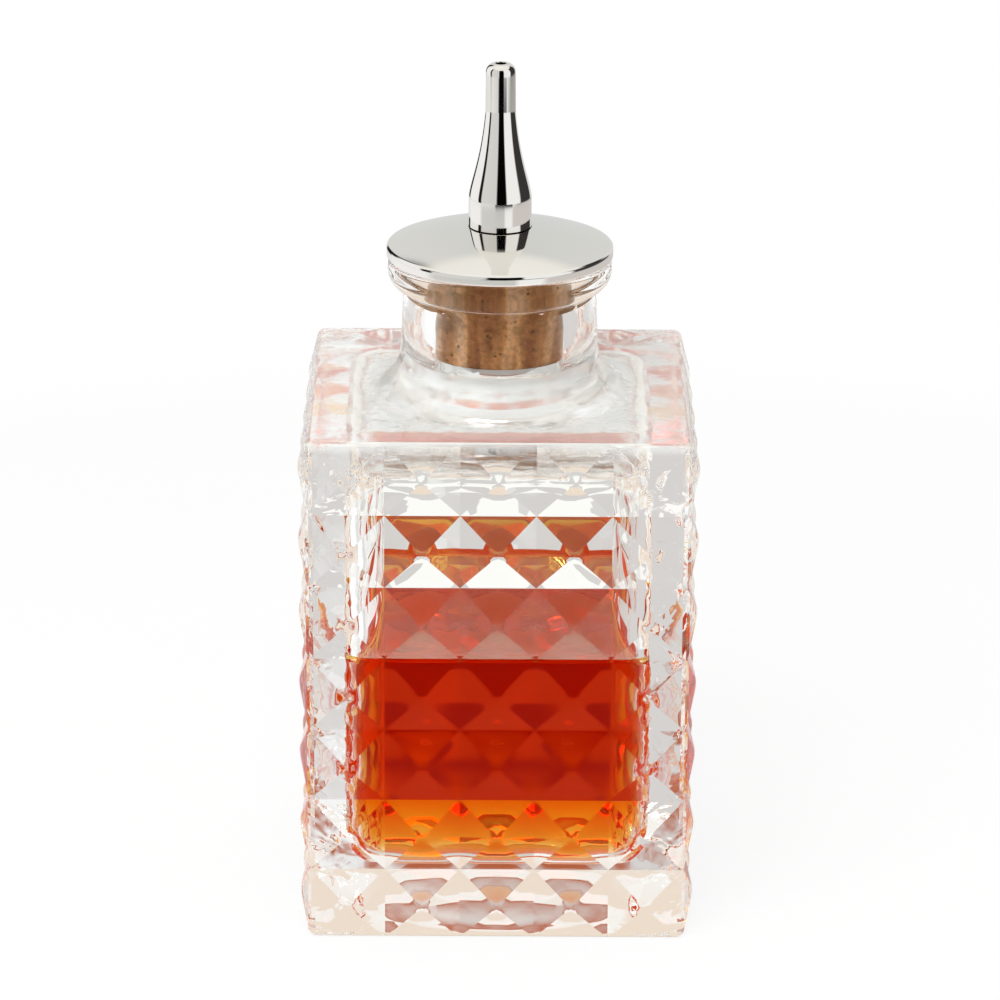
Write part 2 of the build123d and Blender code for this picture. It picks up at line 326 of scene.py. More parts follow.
# Glass: rings from the middle of the push-up out to the rim, up the studded walls, in over the
# shoulder, up the neck, round the lip, down the bore, and round the hollow to the middle of its floor
def glassSurface():
    half, top, lipTop = bottle["width"] / 2, bottle["height"], glassHigh[2]
    corner, heel, shoulder = bottle["cornerRadius"], bottle["heelRadius"], bottle["shoulderRadius"]
    cells, rows = bottle["cellsPerStud"], bottle["rows"]
    pushR, pushD = bottle["pushupRadius"], bottle["pushupDepth"]
    footR, neckR, bore = bottle["footRadius"], bottle["neckRadius"], bottle["boreRadius"]
    lipR, under, edge = bottle["lipRadius"], bottle["lipUnder"], bottle["lipEdge"]
    mouth, mouthEnd = bore + bottle["mouthWidening"], lipTop - bottle["mouthDepth"]
    footEdge = neckR + bottle["neckFlare"] + footR
    ceiling = top - bottle["ceiling"]

    radius = np.linspace(0.6, pushR, 10)
    domeRows = np.column_stack([radius, radius, pushD * (1 - (radius / pushR) ** 2)])
    rimShare = np.linspace(0, 1, 7)[1:-1, None]
    rimStart, rimEnd = np.array([[pushR, pushR, 0]]), np.array([[half - heel, 0.1, 0]])
    rimRows = rimStart * (1 - rimShare) + rimEnd * rimShare
    heelArc = withCorner(arc((half - heel, heel), heel, -90, 0, 4), half - corner)
    levels = np.linspace(0, top, cells * rows + 1)
    levels = levels[(levels > heel + 0.1) & (levels < top - shoulder - 0.1)]
    wallRows = np.column_stack([0 * levels + half, 0 * levels + corner, levels])
    shoulderArc = withCorner(arc((half - shoulder, top - shoulder), shoulder, 0, 90, 4), half - corner)
    topShare = np.linspace(0, 1, 9)[1:-1, None]
    topStart, topEnd = np.array([[half - shoulder, 0.1, top]]), np.array([[footEdge, footEdge, top]])
    topRows = topStart * (1 - topShare) + topEnd * topShare

    # the lip's underside is an arc that starts where it crosses the neck
    underMiddle = lipTop - bottle["lipHeight"] + under
    crookTop = underMiddle - math.sqrt(under ** 2 - (neckR - lipR + under) ** 2)
    crookBottom = crookTop - bottle["crookHeight"]
    underStart = math.degrees(math.atan2(crookTop - underMiddle, neckR - lipR + under))
    boreEdge, throat, ease = bottle["boreEdge"], bottle["throatRadius"], bottle["taperEase"]
    taperTop, taperEnd = mouthEnd + bottle["taperLead"], mouthEnd - bottle["mouthTaper"]
    neck = joinProfile([
        arc((footEdge, top + footR), footR, -90, -180, 12),
        straight((neckR + bottle["neckFlare"], top + footR), (neckR, crookBottom), 8),
        straight((neckR, crookBottom), (neckR + bottle["crookWidth"], crookTop), 1),
        arc((lipR - under, underMiddle), under, underStart, 0, 12),
        straight((lipR, underMiddle), (lipR, lipTop - edge), 4),
        arc((lipR - edge, lipTop - edge), edge, 0, 90, 10),
        straight((lipR - edge, lipTop), (mouth + boreEdge, lipTop), 4),
        arc((mouth + boreEdge, lipTop - boreEdge), boreEdge, 90, 180, 10),
        straight((mouth, lipTop - boreEdge), (mouth, taperTop), 6),
        bezier([(mouth, taperTop), (mouth, mouthEnd - ease),
                (bore, taperEnd + ease), (bore, taperEnd)], 10),
        straight((bore, taperEnd), (bore, ceiling + throat), 8),
        arc((bore + throat, ceiling + throat), throat, 180, 270, 10),
    ], 3.0)
    neckRows = np.column_stack([neck[:, 0], neck[:, 0], neck[:, 1]])
    hollowRows = hollowProfile(0)
    ceilingShare = np.linspace(0, 1, 6)[1:-1, None]
    ceilingRows = neckRows[-1:] * (1 - ceilingShare) + hollowRows[0][:1] * ceilingShare
    profile = np.concatenate(
        [domeRows, rimRows, heelArc, wallRows, shoulderArc, topRows, neckRows, ceilingRows, *hollowRows])

    around = cells * bottle["columns"]
    share = np.linspace(-1, 1, around, endpoint=False)[None, :]
    outside = slice(len(domeRows) + len(rimRows), None)
    studded = slice(outside.start, outside.start + len(heelArc) + len(wallRows) + len(shoulderArc))
    standing = np.zeros((len(profile), around))
    standing[studded] = studField(share, profile[studded, 2:3])

    # each point of the studs moves a quarter of the way to the mean of its four neighbours, which
    # blunts valleys and ridges as pressing does
    softer = standing.copy()
    inner = slice(studded.start + 1, studded.stop - 1)
    softer[inner, 1:-1] = (12 * standing[inner, 1:-1] + standing[inner, 2:] + standing[inner, :-2]
                           + standing[studded.start + 2:studded.stop, 1:-1]
                           + standing[studded.start:studded.stop - 2, 1:-1]) / 16
    rings = squareRings(profile, around, softer)

    # the ridges of each stud run along the diagonals of its cells, so the cells are split there
    ridges = np.zeros((len(profile) - 1, 4 * around), int)
    middle = (np.arange(around) + 0.5) / cells % 1 - 0.5
    height = (profile[:-1, 2] + profile[1:, 2]) / 2 / (top / rows) % 1 - 0.5
    split = np.where(middle[None, :] * height[:, None] > 0, 1, 2)
    ridges[studded.start:studded.stop - 1] = np.tile(split, 4)[studded.start:studded.stop - 1]
    return skinRings(rings, ridges=ridges)


liquid = {
    "overlap": 0.08,  # into the glass, so that light passes from one to the other with no air between
    "meniscusHeight": 0.9,
    "meniscusReach": 1.3,
    "cellsPerSide": 48,
    "taken": (0.969, 0.70, 0.0),  # linear red, green and blue that it lets through
    "density": 250.0,  # how strongly it takes up the rest
    "topTint": "#DCAC3A",
    "topMirror": 0.45,  # of a full reflection, seen from straight above
    "topClearness": 0.91,  # the rest is a slight haze
    "skinDepth": 0.3,  # what lies less than this below the level is the upper surface
}


# Liquid: the hollow's profile, grown by the overlap, up to its level. Towards the glass the surface
# climbs in a meniscus, whose height falls off exponentially with the distance from the wall.
def liquidSurface():
    level, overlap = liquidHigh[2], liquid["overlap"]
    ceilingArc, wallLine, floorArc, floorLine = hollowProfile(overlap)
    half = floorArc[0, 0]
    shift = half - floorArc[0, 1]
    inset = np.r_[0, np.geomspace(0.15, 9, 14), np.linspace(11, half - 0.5, 8)]
    surface = np.column_stack([half - inset, level + liquid["meniscusHeight"] * np.exp(
        -inset / liquid["meniscusReach"])])
    wall = straight(floorArc[0, [0, 2]], surface[0], 10)[1:-1]
    profile = np.concatenate([floorLine[::-1], floorArc[::-1], withCorner(wall, shift),
                              withCorner(surface, shift)])
    return skinRings(squareRings(profile, liquid["cellsPerSide"]))


manyBounces = {"Ray Depth": 9.5, "Glossy Depth": 3.5}  # a ray is let on above either number


# Glass and liquid pass a ray straight on once it has bounced many times. The renderer would drop it
# there, which would leave black patches where real glass is bright.
def letDeepRaysOn(tree, shader):
    path = addNode(tree, "ShaderNodeLightPath")
    passed = [maths(tree, "GREATER_THAN", path.outputs[name], limit) for name, limit in manyBounces.items()]
    clear = addNode(tree, "ShaderNodeBsdfTransparent")
    mixed = addNode(tree, "ShaderNodeMixShader", {
        0: maths(tree, "MAXIMUM", *passed), 1: shader.outputs["BSDF"], 2: clear.outputs["BSDF"]})
    return mixed.outputs["Shader"]


glassSkin = {
    "faceTint": "#FEFFFE",
    "shoulderTint": "#FAFEFC",  # a very faint green
    "faceShine": 0.07,  # of a full reflection. More of it would cover the facets with the room.
    "shoulderShine": 0.9,
    "shoulderClearness": 0.72,  # the rest is a white bloom
    "haze": 0.14,
    "waveSize": 9.0,  # slow waves of the fire polish, everywhere
    "rippleSize": 4.2,  # quicker ripples, in the uneven places
    "rippleShare": 8.0,  # against the waves
    "shoulderRipples": 0.4,  # against those of the corners
    "bumpHeight": 0.12,
    "cornerReach": (25.0, 40.0),  # from the middle in both directions, so only at the upright corners
    "cornerFade": 5.0,
    "shoulderHeights": (83.5, 88.0),
    "shoulderFade": 1.5,
    "ceilingHeights": (77.0, 80.0),
    "ceilingHalfWidth": 24.8,
}


# Soda glass, pressed in a mould and fire polished: nearly colourless, with a smooth bright skin that is
# calm on the faces. On the shoulder, on the hollow's ceiling and along the upright corners the mould
# left it rippled, and the shoulder has a slight white bloom.
def sodaGlass():
    material, tree = startMaterial("fire_polished_soda_glass")
    skin = glassSkin
    place = addNode(tree, "ShaderNodeTexCoord").outputs["Object"]
    parts = addNode(tree, "ShaderNodeSeparateXYZ", {0: place})
    sides = [maths(tree, "ABSOLUTE", parts.outputs[axis]) for axis in ("X", "Y")]
    lesser, greater = [maths(tree, which, *sides) for which in ("MINIMUM", "MAXIMUM")]
    near, far = (reach * mm for reach in skin["cornerReach"])
    corners = within(tree, lesser, near, far, skin["cornerFade"] * mm)
    low, high = (level * mm for level in skin["shoulderHeights"])
    shoulder = within(tree, parts.outputs["Z"], low, high, skin["shoulderFade"] * mm)
    low, high = (level * mm for level in skin["ceilingHeights"])
    ceiling = maths(tree, "MULTIPLY",
                    within(tree, greater, -1 * mm, skin["ceilingHalfWidth"] * mm, 0.3 * mm),
                    within(tree, parts.outputs["Z"], low, high, 1 * mm))
    calmer = maths(tree, "MULTIPLY", shoulder, skin["shoulderRipples"])
    uneven = maths(tree, "MAXIMUM", maths(tree, "MAXIMUM", corners, ceiling), calmer)

    waves = noise(tree, place, skin["waveSize"], 1.0, 0.4)
    ripples = noise(tree, place, skin["rippleSize"], 2.0, 0.45, 0.5)
    swell = maths(tree, "MULTIPLY", uneven, skin["rippleShare"])
    bump = addNode(tree, "ShaderNodeBump", {
        "Strength": 0.4, "Distance": skin["bumpHeight"] * mm,
        "Height": maths(tree, "MULTIPLY_ADD", ripples, swell, waves)})

    shader = addNode(tree, "ShaderNodeBsdfPrincipled", {
        "IOR": 1.5,
        "Base Color": mixColours(tree, shoulder, linear(skin["faceTint"]), linear(skin["shoulderTint"])),
        "Roughness": maths(tree, "MULTIPLY", maths(tree, "MAXIMUM", shoulder, ceiling), skin["haze"]),
        "Specular Tint": remap(tree, shoulder, toSpan=(skin["faceShine"], skin["shoulderShine"])),
        "Transmission Weight": remap(tree, shoulder, toSpan=(1.0, skin["shoulderClearness"])),
        "Normal": bump.outputs["Normal"],
    })
    addNode(tree, "ShaderNodeOutputMaterial", {"Surface": letDeepRaysOn(tree, shader)})
    return material


# Bitters: a clear red-brown infusion in spirit. Blue is taken up within a few millimetres, green
# within a centimetre or two and red hardly, so it is amber where thin and deep red where thick. Only
# its upper surface, in the air, mirrors the room, and it has a slight haze of the finest particles.
# Against the glass there is nothing to mirror.
def bittersLiquid():
    material, tree = startMaterial("bitters_in_spirit")
    coordinates = addNode(tree, "ShaderNodeTexCoord")
    parts = addNode(tree, "ShaderNodeSeparateXYZ", {0: coordinates.outputs["Object"]})
    inAir = maths(tree, "GREATER_THAN", parts.outputs["Z"], (liquidHigh[2] - liquid["skinDepth"]) * mm)
    shader = addNode(tree, "ShaderNodeBsdfPrincipled", {
        "Roughness": 0.0,
        "IOR": 1.36,
        "Specular Tint": maths(tree, "MULTIPLY", inAir, liquid["topMirror"]),
        "Base Color": mixColours(tree, inAir, (1, 1, 1, 1), linear(liquid["topTint"])),
        "Transmission Weight": remap(tree, inAir, toSpan=(1.0, liquid["topClearness"])),
    })
    taken = addNode(tree, "ShaderNodeVolumeAbsorption", {
        "Color": (*liquid["taken"], 1), "Density": liquid["density"]})
    addNode(tree, "ShaderNodeOutputMaterial", {
        "Surface": letDeepRaysOn(tree, shader), "Volume": taken.outputs["Volume"]})
    return material


steel = {
    "polish": "#EEECE8",
    "paintedShade": "#1C1A19",
    # painted shade: the dark colour for the joint under the spout and for the spout's bore
    "smearSize": 6.0,
    "jointRadii": (4.0, 5.03),  # the ring of painted shade under the spout
    "jointHeights": (-0.02, 0.13),  # from the spout's foot
    "boreReach": 1.25,  # radius of the painted shade in the bore
    "boreStop": 0.12,  # the painted shade ends this far below the tip
    "lathe": "#DDDCDD",
    "latheRings": 0.5,  # rings lie 2 pi times this apart, coarser than real ones so that they show
}


# Polished stainless steel: a near mirror, faintly warm, with fine smears. Shade is painted dark into the
# joint under the spout and into the spout's bore, and both are also rougher there.
def polishedSteel():
    material, tree = startMaterial("polished_stainless_steel")
    place = addNode(tree, "ShaderNodeTexCoord").outputs["Object"]
    smears = noise(tree, place, steel["smearSize"], 3.0)
    height = addNode(tree, "ShaderNodeSeparateXYZ", {0: place}).outputs["Z"]
    flat = addNode(tree, "ShaderNodeVectorMath", {0: place, 1: (1, 1, 0)}, operation="MULTIPLY")
    across = addNode(tree, "ShaderNodeVectorMath", {0: flat.outputs["Vector"]},
                     operation="LENGTH").outputs["Value"]
    foot, tip, fade = spoutLow[2], spoutHigh[2], 0.05 * mm
    low, high = ((foot + rise) * mm for rise in steel["jointHeights"])
    inner, outer = (radius * mm for radius in steel["jointRadii"])
    # painted shade: a thin dark ring where the spout meets the cap
    joint = maths(tree, "MULTIPLY", within(tree, height, low, high, 0.06 * mm),
                  within(tree, across, inner, outer, fade))
    # painted shade: the spout's bore, dark up to just below the tip
    bore = maths(tree, "MULTIPLY", within(tree, across, -1.0 * mm, steel["boreReach"] * mm, fade),
                 within(tree, height, foot * mm, (tip - steel["boreStop"]) * mm, fade))
    # the painted shade of both, which also raises the roughness there
    shadedAndRough = maths(tree, "MAXIMUM", joint, bore)
    gloss = remap(tree, smears, (0.35, 0.7), (0.03, 0.07))
    shader = addNode(tree, "ShaderNodeBsdfPrincipled", {
        "Metallic": 1.0,
        "Base Color": mixColours(tree, shadedAndRough, linear(steel["polish"]), linear(steel["paintedShade"])),
        "Roughness": maths(tree, "MULTIPLY_ADD", shadedAndRough, 0.5, gloss),
    })
    addNode(tree, "ShaderNodeOutputMaterial", {"Surface": shader.outputs["BSDF"]})
    return material


# Turned steel, left as it came off the lathe: soft grey, with rings cut by the tool
def turnedSteel():
    material, tree = startMaterial("turned_steel")
    coordinates = addNode(tree, "ShaderNodeTexCoord")
    rings = addNode(tree, "ShaderNodeTexWave", {
        "Vector": coordinates.outputs["Object"], "Scale": 1 / (steel["latheRings"] * mm) / 20,
        "Distortion": 0.4, "Detail": 2.0}, wave_type="RINGS", rings_direction="Z")
    bump = addNode(tree, "ShaderNodeBump", {
        "Strength": 0.3, "Distance": 0.02 * mm, "Height": rings.outputs["Fac"]})
    shader = addNode(tree, "ShaderNodeBsdfPrincipled", {
        "Base Color": linear(steel["lathe"]), "Metallic": 1.0, "Roughness": 0.34,
        "Normal": bump.outputs["Normal"]})
    addNode(tree, "ShaderNodeOutputMaterial", {"Surface": shader.outputs["BSDF"]})
    return material


cork = {
    "radius": 10.45,
    "headRadius": 11.55,
    "taper": 0.25,
    "edge": 0.5,
    "headEdge": 0.2,
    "holeRadius": 3.05,
    "around": 160,
    "pits": 60,
    "pitDepth": 0.16,
    "pitSizes": (0.2, 0.5),
    "pitStretch": 1.4,  # how much taller than wide
    "zones": [(0.32, "#A26840"), (0.46, "#C68C59"), (0.49, "#E0A977"), (0.66, "#F0C8A6")],
    "zoneSize": 5.5,
    "zoneUpright": 0.12,  # scale of the zones upwards against across, which draws them out
    "speckleSize": 0.9,
    "stainSize": 3.5,
    "poreSpacing": 1.7,
}


# Natural cork, ground round: dull, with upright growth zones from brown to pale tan, stains, fine
# speckle and a few dark pores
def naturalCork():
    material, tree = startMaterial("natural_cork")
    place = addNode(tree, "ShaderNodeTexCoord").outputs["Object"]
    upright = addNode(tree, "ShaderNodeMapping", {"Vector": place, "Scale": (1, 1, cork["zoneUpright"])})
    zones = noise(tree, upright.outputs["Vector"], cork["zoneSize"], 3.0, 0.5, 0.3)
    speckle = noise(tree, place, cork["speckleSize"], 5.0, 0.75)
    blotches = noise(tree, place, cork["stainSize"], 2.0)
    grain = addNode(tree, "ShaderNodeTexVoronoi", {
        "Vector": place, "Scale": 1 / (cork["poreSpacing"] * mm), "Randomness": 1.0})
    tone = rampColour(tree, zones, cork["zones"])
    fleck = remap(tree, speckle, (0.3, 0.62), (0.55, 1.08))
    stain = remap(tree, blotches, (0.34, 0.46), (0.62, 1.0))
    pores = remap(tree, grain.outputs["Distance"], (0.08, 0.2), (0.35, 1.0))
    shade = maths(tree, "MULTIPLY", maths(tree, "MULTIPLY", fleck, stain), pores)
    colour = addNode(tree, "ShaderNodeVectorMath", {0: tone, "Scale": shade}, operation="SCALE")
    bump = addNode(tree, "ShaderNodeBump", {"Strength": 0.6, "Distance": 0.15 * mm, "Height": shade})
    shader = addNode(tree, "ShaderNodeBsdfPrincipled", {
        "Base Color": colour.outputs["Vector"], "Roughness": 0.8, "Specular IOR Level": 0.3,
        "Normal": bump.outputs["Normal"]})
    addNode(tree, "ShaderNodeOutputMaterial", {"Surface": shader.outputs["BSDF"]})
    return material


# Cork: a tapered wall with a wider head and rounded edges. Pits are dents that fade with the distance
# from their middles, at seeded random places on the wall.
def corkSurface():
    bottom, top, edge, headEdge = corkLow[2], corkHigh[2], cork["edge"], cork["headEdge"]
    low, hole = cork["radius"] - cork["taper"], cork["holeRadius"]
    head, headEnd = cork["headRadius"], top - bottle["mouthDepth"]
    neckEnd = headEnd - bottle["mouthTaper"] - 0.1
    profile = joinProfile([
        straight((hole, bottom), (low - edge, bottom), 6),
        arc((low - edge, bottom + edge), edge, -90, 0, 4),
        straight((low, bottom + edge), (cork["radius"], neckEnd), 12),
        straight((cork["radius"], neckEnd), (head, headEnd), 6),
        straight((head, headEnd), (head, top - headEdge), 14),
        arc((head - headEdge, top - headEdge), headEdge, 0, 90, 2),
        straight((head - headEdge, top), (hole, top), 6),
        straight((hole, top), (hole, bottom), 8)[:-1],
    ], 0.5)
    rings = turnProfile(profile, cork["around"])
    random = np.random.default_rng(7)
    outward = rings[..., :2] / np.linalg.norm(rings[..., :2], axis=-1, keepdims=True)
    wall = (profile[:, 0] > low - 0.01)[:, None]
    angles = random.uniform(0, 2 * np.pi, cork["pits"])
    heights = random.uniform(bottom, top, cork["pits"])
    sizes = random.uniform(*cork["pitSizes"], cork["pits"])
    dent = np.zeros(rings.shape[:2])
    angle = np.arctan2(rings[..., 0], -rings[..., 1])
    for pitAngle, pitHeight, size in zip(angles, heights, sizes):
        across = cork["radius"] * np.angle(np.exp(1j * (angle - pitAngle)))
        up = (rings[..., 2] - pitHeight) / cork["pitStretch"]
        dent += np.exp(-(across ** 2 + up ** 2) / size ** 2)
    dent = cork["pitDepth"] * np.minimum(dent, 1) * wall
    rings[..., :2] -= outward * dent[..., None]
    return skinRings(rings, closed=True)


cap = {
    "radius": 18.07,
    "rimHeight": 1.71,
    "rimEdge": 0.25,
    "rise": 3.32,
    "domeStart": 0.6,  # of the rim's edge, from the outside
    "holeRadius": 3.05,
    "landRadius": 5.15,  # flat under the spout
    "airGap": 0.03,  # between the seat and the lip, so that the glass still shines there
}


# Cap: a flat seat, an upright rim with rounded edges, and a dome that is a shallow part of a sphere
def capSurface():
    seat, rim = capLow[2] + cap["airGap"], capLow[2] + cap["rimHeight"]
    radius, edge = cap["radius"], cap["rimEdge"]
    sphere = (radius ** 2 + cap["rise"] ** 2) / (2 * cap["rise"])
    centre = rim + cap["rise"] - sphere
    rimAngle = math.degrees(math.acos((radius - edge * cap["domeStart"]) / sphere))
    landAngle = math.degrees(math.acos(cap["landRadius"] / sphere))
    land = centre + sphere * math.sin(math.radians(landAngle))
    profile = joinProfile([
        straight((cap["holeRadius"], seat), (radius - edge, seat), 12),
        arc((radius - edge, seat + edge), edge, -90, 0, 4),
        straight((radius, seat + edge), (radius, rim - edge), 3),
        arc((radius - edge, rim - edge), edge, 0, rimAngle, 4),
        arc((0, centre), sphere, rimAngle + 0.1, landAngle, 60),
        straight((cap["landRadius"], land), (cap["holeRadius"], land), 4),
        straight((cap["holeRadius"], land), (cap["holeRadius"], seat), 4)[:-1],
    ], 1.2)
    return skinRings(turnProfile(profile, 192), closed=True)


spout = {
    "footRadius": 5.0,
    "bellyRadius": 5.01,
    "bellyHeight": 5.1,
    "footEdge": 0.2,
    "flareHeight": 13.6,
    "flareEndRadius": 2.42,
    "startLean": 0.33,  # the flare leaves the belly leaning in by this much
    "startReach": 2.7,  # over this height
    "endLean": 0.73,  # and reaches the slim upper part leaning by this much
    "endReach": 7.9,  # over this height
    "endRadius": 2.36,
    "channelRadius": 1.2,
    "tipHole": 0.9,
    "tipEdge": 0.05,
    "tipLand": 0.1,
    "tipHoleLength": 2.0,
    "socketDepth": 4.05,
    "socketRadius": 3.05,
}


# Spout: a gently barrelled foot, a flare drawn as one curve, a slim upper part and a round tip, with
# the channel and the stem's socket inside
def spoutSurface():
    s, foot, tip = spout, spoutLow[2], spoutHigh[2]
    belly = foot + s["bellyHeight"]
    flareEnd = belly + s["flareHeight"]
    barrel = foot + s["footEdge"]
    rise = np.linspace(-1, 1, 17)
    swell = s["footRadius"] + (s["bellyRadius"] - s["footRadius"]) * (1 - rise ** 2)
    rounding = s["endRadius"] - s["tipHole"] - s["tipLand"]
    hole, channel, socket, edge = s["tipHole"], s["channelRadius"], s["socketRadius"], s["tipEdge"]
    holeEnd, socketEnd = tip - s["tipHoleLength"], foot + s["socketDepth"]
    profile = joinProfile([
        straight((socket, foot), (s["footRadius"] - s["footEdge"], foot), 3),
        straight((s["footRadius"] - s["footEdge"], foot), (s["footRadius"], barrel), 2),
        np.column_stack([swell, barrel + (belly - barrel) * (rise + 1) / 2]),
        bezier([(s["footRadius"], belly),
                (s["footRadius"] - s["startLean"], belly + s["startReach"]),
                (s["flareEndRadius"] + s["endLean"], flareEnd - s["endReach"]),
                (s["flareEndRadius"], flareEnd)], 40),
        straight((s["flareEndRadius"], flareEnd), (s["endRadius"], tip - rounding), 12),
        arc((s["endRadius"] - rounding, tip - rounding), rounding, 0, 90, 16),
        straight((hole + s["tipLand"], tip), (hole + edge, tip), 1),
        arc((hole + edge, tip - edge), edge, 90, 180, 2),
        straight((hole, tip - edge), (hole, holeEnd), 4),
        straight((hole, holeEnd), (channel, holeEnd), 1),
        straight((channel, holeEnd), (channel, socketEnd), 20),
        straight((channel, socketEnd), (socket, socketEnd), 2),
        straight((socket, socketEnd), (socket, foot), 4)[:-1],
    ], 0.6)
    return skinRings(turnProfile(profile, 128), closed=True)


stem = {
    "radius": 3.0,
    "bore": 1.9,
    "holeRadius": 3.05,  # of the washer and the nut that it passes through
    "pitch": 0.8,
    "threadDepth": 0.22,
    "endWidth": 0.25,  # bevel of its ends
    "endHeight": 0.15,
}


# Stem: the outer radius falls and rises with height minus the turned angle, which makes one thread
def stemSurface():
    low, high, radius, bore = stemLow[2], stemHigh[2], stem["radius"], stem["bore"]
    outer = straight((radius, low + stem["endHeight"]), (radius, high - stem["endHeight"]), 240)
    profile = np.concatenate([
        straight((bore, low), (radius - stem["endWidth"], low), 2),
        outer,
        straight((radius - stem["endWidth"], high), (bore, high), 2),
        straight((bore, high), (bore, low), 12)[1:-1],
    ])
    rings = turnProfile(profile, 64)
    threaded = (profile[:, 0] > radius - 0.1)[:, None]
    angle = np.arctan2(rings[..., 0], -rings[..., 1]) / (2 * np.pi)
    phase = np.mod(rings[..., 2] / stem["pitch"] - angle, 1)
    groove = stem["threadDepth"] * np.abs(2 * phase - 1) * threaded
    rings[..., :2] *= (1 - groove / radius)[..., None]
    return skinRings(rings, closed=True)


washer = {"edge": 0.15, "around": 128}


# Washer: a flat ring with rounded outer edges
def washerSurface():
    low, high, radius = washerLow[2], washerHigh[2], washerHigh[0]
    edge, hole = washer["edge"], stem["holeRadius"]
    profile = joinProfile([
        straight((hole, low), (radius - edge, low), 4),
        arc((radius - edge, low + edge), edge, -90, 0, 3),
        arc((radius - edge, high - edge), edge, 0, 90, 3),
        straight((radius - edge, high), (hole, high), 4),
    ], 0.8)
    return skinRings(turnProfile(profile, washer["around"]), closed=True)


nut = {
    "slots": 4,
    "slotWidth": 1.1,
    "slotDepth": 1.0,
    "slotDegrees": 55.0,
    "slotSlope": 0.12,  # width of a slot's side walls
    "edge": 0.3,
    "topEdge": 0.1,
    "around": 288,
}


# Nut: a ring whose outer wall steps in wherever the angle lies inside one of its slots
def nutSurface():
    low, high, radius = nutLow[2], nutHigh[2], nutHigh[0]
    edge, topEdge, hole = nut["edge"], nut["topEdge"], stem["holeRadius"]
    profile = joinProfile([
        straight((hole, low), (radius - edge, low), 4),
        straight((radius - edge, low), (radius, low + edge), 2),
        straight((radius, low + edge), (radius, high - topEdge), 3),
        straight((radius, high - topEdge), (radius - topEdge, high), 1),
        straight((radius - topEdge, high), (hole, high), 4),
    ], 0.8)
    rings = turnProfile(profile, nut["around"])
    angle = np.arctan2(rings[..., 1], rings[..., 0]) - math.radians(nut["slotDegrees"])
    fold = np.abs(np.angle(np.exp(1j * angle * nut["slots"]))) / nut["slots"]
    inside = np.clip((nut["slotWidth"] / 2 - radius * fold) / nut["slotSlope"] + 0.5, 0, 1)
    limit = radius - nut["slotDepth"] * inside
    size = np.linalg.norm(rings[..., :2], axis=-1)
    rings[..., :2] *= (np.minimum(size, limit) / size)[..., None]
    return skinRings(rings, closed=True)


glassMaterial, liquidMaterial, corkMaterial = sodaGlass(), bittersLiquid(), naturalCork()
polished, turned = polishedSteel(), turnedSteel()
makePiece("glassBottle", glassSurface(), glassMaterial, "glass_bottle", "bottle", 11)
makePiece("bittersFill", liquidSurface(), liquidMaterial, "bitters_fill", "bottle", 0)
makePiece("corkStopper", corkSurface(), corkMaterial, "cork_stopper", "stopper")
makePiece("domeCap", capSurface(), polished, "dome_cap", "stopper")
makePiece("pourSpout", spoutSurface(), polished, "pour_spout", "stopper", 25)
makePiece("stemTube", stemSurface(), turned, "stem_tube", "stopper")
makePiece("retainingWasher", washerSurface(), turned, "retaining_washer", "stopper")
makePiece("retainingNut", nutSurface(), turned, "retaining_nut", "stopper")

camera = {
    "distance": 810.9,
    "elevation": 19.45,
    "lens": 179.9,
    "sensor": 36.0,
    "roll": 0.31,
    "target": (0.23, 0.0, 64.11),
}


# The camera stands in front, raised by its elevation, and is rolled by a third of a degree
def placeCamera():
    data = bpy.data.cameras.new("camera")
    data.lens, data.sensor_width = camera["lens"], camera["sensor"]
    data.clip_start, data.clip_end = 0.01, 20.0
    view = bpy.data.objects.new("camera", data)
    bpy.context.scene.collection.objects.link(view)
    rise, roll = math.radians(camera["elevation"]), math.radians(camera["roll"])
    back = np.array([0, -math.cos(rise), math.sin(rise)])
    right, up = np.array([1.0, 0, 0]), np.array([0, math.sin(rise), math.cos(rise)])
    rolledRight = math.cos(roll) * right + math.sin(roll) * up
    rolledUp = math.cos(roll) * up - math.sin(roll) * right
    place = (np.array(camera["target"]) + camera["distance"] * back) * mm
    rows = np.column_stack([rolledRight, rolledUp, back, place])
    view.matrix_world = Matrix([*rows.tolist(), [0, 0, 0, 1]])
    bpy.context.scene.camera = view


studio = {
    "floorRadius": 420.0,
    "floorSides": 96,
    "floorDrop": 0.02,  # below the base, so that the two don't flicker
    "floorTone": "#FAFAF9",
    "shadowReach": 40.0,  # inside this distance all of the floor's white comes from the room and lamp
    "shadowEnd": 300.0,  # beyond this one it is all the floor's own
    "paleShare": 0.88,  # of the white background that the camera sees in the floor itself
    "glowTone": "#B05220",
    "glowAcross": (-20.0, 20.0),  # left to right
    "glowBehind": (50.0, 66.0),  # from the middle of the bottle backwards
    "glowFades": (8.0, 20.0),  # across and back
    "glowShare": 0.95,
    "ambient": 0.55,  # of white, which lights dull surfaces from all round
    "lampPlace": (-160, -420, 620),
    "lampAim": (0, 0, 60.0),
    "lampWidth": 500,
    "lampPower": 4.2,
}


# Floor: a round white table top, given as rings that widen from its middle, down to the last ring. The
# fan that would close them to a solid is left off.
def floorSurface():
    radius = np.geomspace(5, studio["floorRadius"], 24)
    rings = turnProfile(np.column_stack([radius, 0 * radius - studio["floorDrop"]]), studio["floorSides"])
    points, faces = skinRings(rings)
    return points, [face[::-1] for face in faces[:-studio["floorSides"]]]


